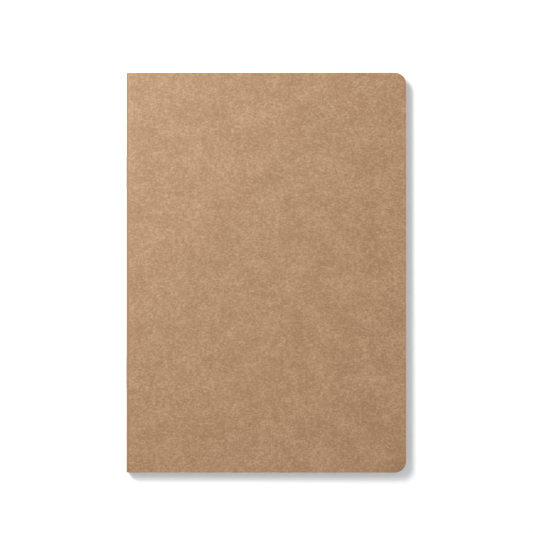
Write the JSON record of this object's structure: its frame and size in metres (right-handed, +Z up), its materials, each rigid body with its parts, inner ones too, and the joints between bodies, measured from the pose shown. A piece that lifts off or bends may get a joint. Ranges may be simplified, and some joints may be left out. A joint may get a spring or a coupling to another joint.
{
  "type": "pocket notebook",
  "caption": "Slim pocket notebook in a plain brown kraft cover, round at the fore-edge corners, stapled through the fold, that opens flat at its middle.",
  "frame": {"origin": "centre of the back cover's underside, halfway from the spine to the fore edge and from the tail to the head", "axes": "+X from the spine to the fore edge, +Y from the tail to the head, +Z up, from the back cover to the front cover of the closed notebook"},
  "size_m": [0.1037, 0.148, 0.0037],
  "materials": {
    "kraft_card": "matte",
    "page_paper": "matte",
    "staple_wire": "satin"
  },
  "bodies": {
    "back_cover": {"back_cover": "kraft_card"},
    "front_cover": {"front_cover": "kraft_card"},
    "leaf_01": {"leaf_01": "page_paper"},
    "leaf_02": {"leaf_02": "page_paper"},
    "leaf_03": {"leaf_03": "page_paper"},
    "leaf_04": {"leaf_04": "page_paper"},
    "leaf_05": {"leaf_05": "page_paper"},
    "leaf_06": {"leaf_06": "page_paper"},
    "leaf_07": {"leaf_07": "page_paper"},
    "leaf_08": {"leaf_08": "page_paper"},
    "leaf_09": {"leaf_09": "page_paper"},
    "leaf_10": {"leaf_10": "page_paper"},
    "leaf_11": {"leaf_11": "page_paper"},
    "leaf_12": {"leaf_12": "page_paper"},
    "leaf_13": {"leaf_13": "page_paper"},
    "leaf_14": {"leaf_14": "page_paper"},
    "leaf_15": {"leaf_15": "page_paper"},
    "leaf_16": {"leaf_16": "page_paper"},
    "leaf_17": {"leaf_17": "page_paper"},
    "leaf_18": {"leaf_18": "page_paper"},
    "leaf_19": {"leaf_19": "page_paper"},
    "leaf_20": {"leaf_20": "page_paper"},
    "leaf_21": {"leaf_21": "page_paper"},
    "leaf_22": {"leaf_22": "page_paper"},
    "leaf_23": {"leaf_23": "page_paper"},
    "leaf_24": {"leaf_24": "page_paper"},
    "spine": {"cover_spine_fold": "kraft_card", "sheet_fold_01": "page_paper", "sheet_fold_02": "page_paper", "sheet_fold_03": "page_paper", "sheet_fold_04": "page_paper", "sheet_fold_05": "page_paper", "sheet_fold_06": "page_paper", "sheet_fold_07": "page_paper", "sheet_fold_08": "page_paper", "sheet_fold_09": "page_paper", "sheet_fold_10": "page_paper", "sheet_fold_11": "page_paper", "sheet_fold_12": "page_paper", "head_staple": "staple_wire", "tail_staple": "staple_wire"}
  },
  "joints": [
    {"name": "front_cover_hinge", "type": "hinge", "parent": "back_cover", "child": "front_cover", "pos_m": [-0.04988, 0, 0.00187], "axis": [0, -1, 0], "range_deg": [0, 179.5], "deforming": ["cover_spine_fold", "sheet_fold_01", "sheet_fold_02", "sheet_fold_03", "sheet_fold_04", "sheet_fold_05", "sheet_fold_06", "sheet_fold_07", "sheet_fold_08", "sheet_fold_09", "sheet_fold_10", "sheet_fold_11", "sheet_fold_12"]},
    {"name": "leaf_01_turn", "type": "hinge", "parent": "back_cover", "child": "leaf_01", "pos_m": [-0.04988, 0, 0.00187], "axis": [0, -1, 0], "range_deg": [0, 177.5]},
    {"name": "leaf_02_turn", "type": "hinge", "parent": "back_cover", "child": "leaf_02", "pos_m": [-0.04988, 0, 0.00187], "axis": [0, -1, 0], "range_deg": [0, 175.91]},
    {"name": "leaf_03_turn", "type": "hinge", "parent": "back_cover", "child": "leaf_03", "pos_m": [-0.04988, 0, 0.00187], "axis": [0, -1, 0], "range_deg": [0, 174.32]},
    {"name": "leaf_04_turn", "type": "hinge", "parent": "back_cover", "child": "leaf_04", "pos_m": [-0.04988, 0, 0.00187], "axis": [0, -1, 0], "range_deg": [0, 172.73]},
    {"name": "leaf_05_turn", "type": "hinge", "parent": "back_cover", "child": "leaf_05", "pos_m": [-0.04988, 0, 0.00187], "axis": [0, -1, 0], "range_deg": [0, 171.14]},
    {"name": "leaf_06_turn", "type": "hinge", "parent": "back_cover", "child": "leaf_06", "pos_m": [-0.04988, 0, 0.00187], "axis": [0, -1, 0], "range_deg": [0, 169.54]},
    {"name": "leaf_07_turn", "type": "hinge", "parent": "back_cover", "child": "leaf_07", "pos_m": [-0.04988, 0, 0.00187], "axis": [0, -1, 0], "range_deg": [0, 167.95]},
    {"name": "leaf_08_turn", "type": "hinge", "parent": "back_cover", "child": "leaf_08", "pos_m": [-0.04988, 0, 0.00187], "axis": [0, -1, 0], "range_deg": [0, 166.36]},
    {"name": "leaf_09_turn", "type": "hinge", "parent": "back_cover", "child": "leaf_09", "pos_m": [-0.04988, 0, 0.00187], "axis": [0, -1, 0], "range_deg": [0, 164.77]},
    {"name": "leaf_10_turn", "type": "hinge", "parent": "back_cover", "child": "leaf_10", "pos_m": [-0.04988, 0, 0.00187], "axis": [0, -1, 0], "range_deg": [0, 163.18]},
    {"name": "leaf_11_turn", "type": "hinge", "parent": "back_cover", "child": "leaf_11", "pos_m": [-0.04988, 0, 0.00187], "axis": [0, -1, 0], "range_deg": [0, 161.59]},
    {"name": "leaf_12_turn", "type": "hinge", "parent": "back_cover", "child": "leaf_12", "pos_m": [-0.04988, 0, 0.00187], "axis": [0, -1, 0], "range_deg": [0, 160]},
    {"name": "leaf_13_turn", "type": "hinge", "parent": "back_cover", "child": "leaf_13", "pos_m": [-0.04988, 0, 0.00187], "axis": [0, -1, 0], "range_deg": [0, 20]},
    {"name": "leaf_14_turn", "type": "hinge", "parent": "back_cover", "child": "leaf_14", "pos_m": [-0.04988, 0, 0.00187], "axis": [0, -1, 0], "range_deg": [0, 18.41]},
    {"name": "leaf_15_turn", "type": "hinge", "parent": "back_cover", "child": "leaf_15", "pos_m": [-0.04988, 0, 0.00187], "axis": [0, -1, 0], "range_deg": [0, 16.82]},
    {"name": "leaf_16_turn", "type": "hinge", "parent": "back_cover", "child": "leaf_16", "pos_m": [-0.04988, 0, 0.00187], "axis": [0, -1, 0], "range_deg": [0, 15.23]},
    {"name": "leaf_17_turn", "type": "hinge", "parent": "back_cover", "child": "leaf_17", "pos_m": [-0.04988, 0, 0.00187], "axis": [0, -1, 0], "range_deg": [0, 13.64]},
    {"name": "leaf_18_turn", "type": "hinge", "parent": "back_cover", "child": "leaf_18", "pos_m": [-0.04988, 0, 0.00187], "axis": [0, -1, 0], "range_deg": [0, 12.05]},
    {"name": "leaf_19_turn", "type": "hinge", "parent": "back_cover", "child": "leaf_19", "pos_m": [-0.04988, 0, 0.00187], "axis": [0, -1, 0], "range_deg": [0, 10.45]},
    {"name": "leaf_20_turn", "type": "hinge", "parent": "back_cover", "child": "leaf_20", "pos_m": [-0.04988, 0, 0.00187], "axis": [0, -1, 0], "range_deg": [0, 8.86]},
    {"name": "leaf_21_turn", "type": "hinge", "parent": "back_cover", "child": "leaf_21", "pos_m": [-0.04988, 0, 0.00187], "axis": [0, -1, 0], "range_deg": [0, 7.27]},
    {"name": "leaf_22_turn", "type": "hinge", "parent": "back_cover", "child": "leaf_22", "pos_m": [-0.04988, 0, 0.00187], "axis": [0, -1, 0], "range_deg": [0, 5.68]},
    {"name": "leaf_23_turn", "type": "hinge", "parent": "back_cover", "child": "leaf_23", "pos_m": [-0.04988, 0, 0.00187], "axis": [0, -1, 0], "range_deg": [0, 4.09]},
    {"name": "leaf_24_turn", "type": "hinge", "parent": "back_cover", "child": "leaf_24", "pos_m": [-0.04988, 0, 0.00187], "axis": [0, -1, 0], "range_deg": [0, 2.5]},
    {"name": "spine_turn", "type": "hinge", "parent": "back_cover", "child": "spine", "pos_m": [-0.04988, 0, 0.00187], "axis": [0, -1, 0], "range_deg": [0, 89.75]}
  ],
  "couplings": [
    {"joint": "leaf_01_turn", "follows": "front_cover_hinge", "ratio": 0.98886},
    {"joint": "leaf_02_turn", "follows": "front_cover_hinge", "ratio": 0.97999},
    {"joint": "leaf_03_turn", "follows": "front_cover_hinge", "ratio": 0.97113},
    {"joint": "leaf_04_turn", "follows": "front_cover_hinge", "ratio": 0.96227},
    {"joint": "leaf_05_turn", "follows": "front_cover_hinge", "ratio": 0.95341},
    {"joint": "leaf_06_turn", "follows": "front_cover_hinge", "ratio": 0.94454},
    {"joint": "leaf_07_turn", "follows": "front_cover_hinge", "ratio": 0.93568},
    {"joint": "leaf_08_turn", "follows": "front_cover_hinge", "ratio": 0.92682},
    {"joint": "leaf_09_turn", "follows": "front_cover_hinge", "ratio": 0.91795},
    {"joint": "leaf_10_turn", "follows": "front_cover_hinge", "ratio": 0.90909},
    {"joint": "leaf_11_turn", "follows": "front_cover_hinge", "ratio": 0.90023},
    {"joint": "leaf_12_turn", "follows": "front_cover_hinge", "ratio": 0.89136},
    {"joint": "leaf_13_turn", "follows": "front_cover_hinge", "ratio": 0.11142},
    {"joint": "leaf_14_turn", "follows": "front_cover_hinge", "ratio": 0.10256},
    {"joint": "leaf_15_turn", "follows": "front_cover_hinge", "ratio": 0.09369},
    {"joint": "leaf_16_turn", "follows": "front_cover_hinge", "ratio": 0.08483},
    {"joint": "leaf_17_turn", "follows": "front_cover_hinge", "ratio": 0.07597},
    {"joint": "leaf_18_turn", "follows": "front_cover_hinge", "ratio": 0.06711},
    {"joint": "leaf_19_turn", "follows": "front_cover_hinge", "ratio": 0.05824},
    {"joint": "leaf_20_turn", "follows": "front_cover_hinge", "ratio": 0.04938},
    {"joint": "leaf_21_turn", "follows": "front_cover_hinge", "ratio": 0.04052},
    {"joint": "leaf_22_turn", "follows": "front_cover_hinge", "ratio": 0.03165},
    {"joint": "leaf_23_turn", "follows": "front_cover_hinge", "ratio": 0.02279},
    {"joint": "leaf_24_turn", "follows": "front_cover_hinge", "ratio": 0.01393},
    {"joint": "spine_turn", "follows": "front_cover_hinge", "ratio": 0.5}
  ]
}
